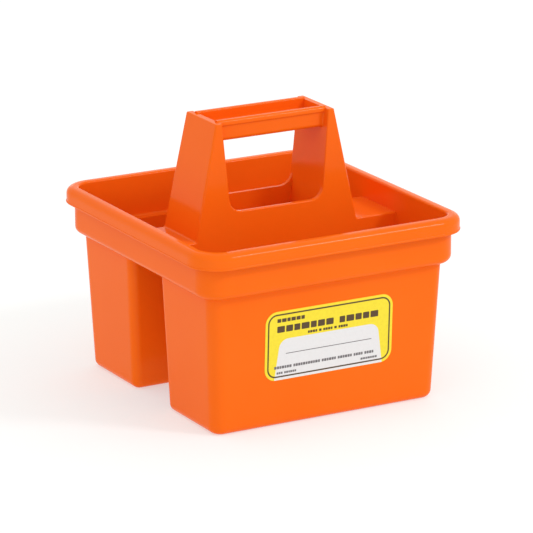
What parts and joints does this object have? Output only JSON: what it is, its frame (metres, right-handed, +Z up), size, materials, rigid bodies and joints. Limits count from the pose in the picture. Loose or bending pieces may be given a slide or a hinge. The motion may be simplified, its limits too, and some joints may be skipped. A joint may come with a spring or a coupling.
{
  "type": "cleaning caddy",
  "caption": "Small open caddy with twin tapered bins under one turned-down rim, joined by a raised saddle that carries a hollow flared handle with a channel grip; write-on label in front",
  "frame": {"origin": "centre of the footprint, on the plane both bins stand on", "axes": "X across the labelled face, Y front to back with the label on the -Y side, Z up"},
  "size_m": [0.12, 0.126, 0.113],
  "materials": {
    "orange_plastic": "gloss, injection-moulded polypropylene",
    "label_paper": "coated self-adhesive paper, satin"
  },
  "bodies": {
    "root": {"front_bin": "orange_plastic", "rear_bin": "orange_plastic", "step_ledge": "orange_plastic", "upper_wall": "orange_plastic", "rim": "orange_plastic", "centre_tray_floor": "orange_plastic", "saddle_left": "orange_plastic", "saddle_right": "orange_plastic", "handle_leg_left": "orange_plastic", "handle_leg_right": "orange_plastic", "front_sill": "orange_plastic", "rear_sill": "orange_plastic", "handle_grip": "orange_plastic", "label": "label_paper"}
  },
  "joints": []
}
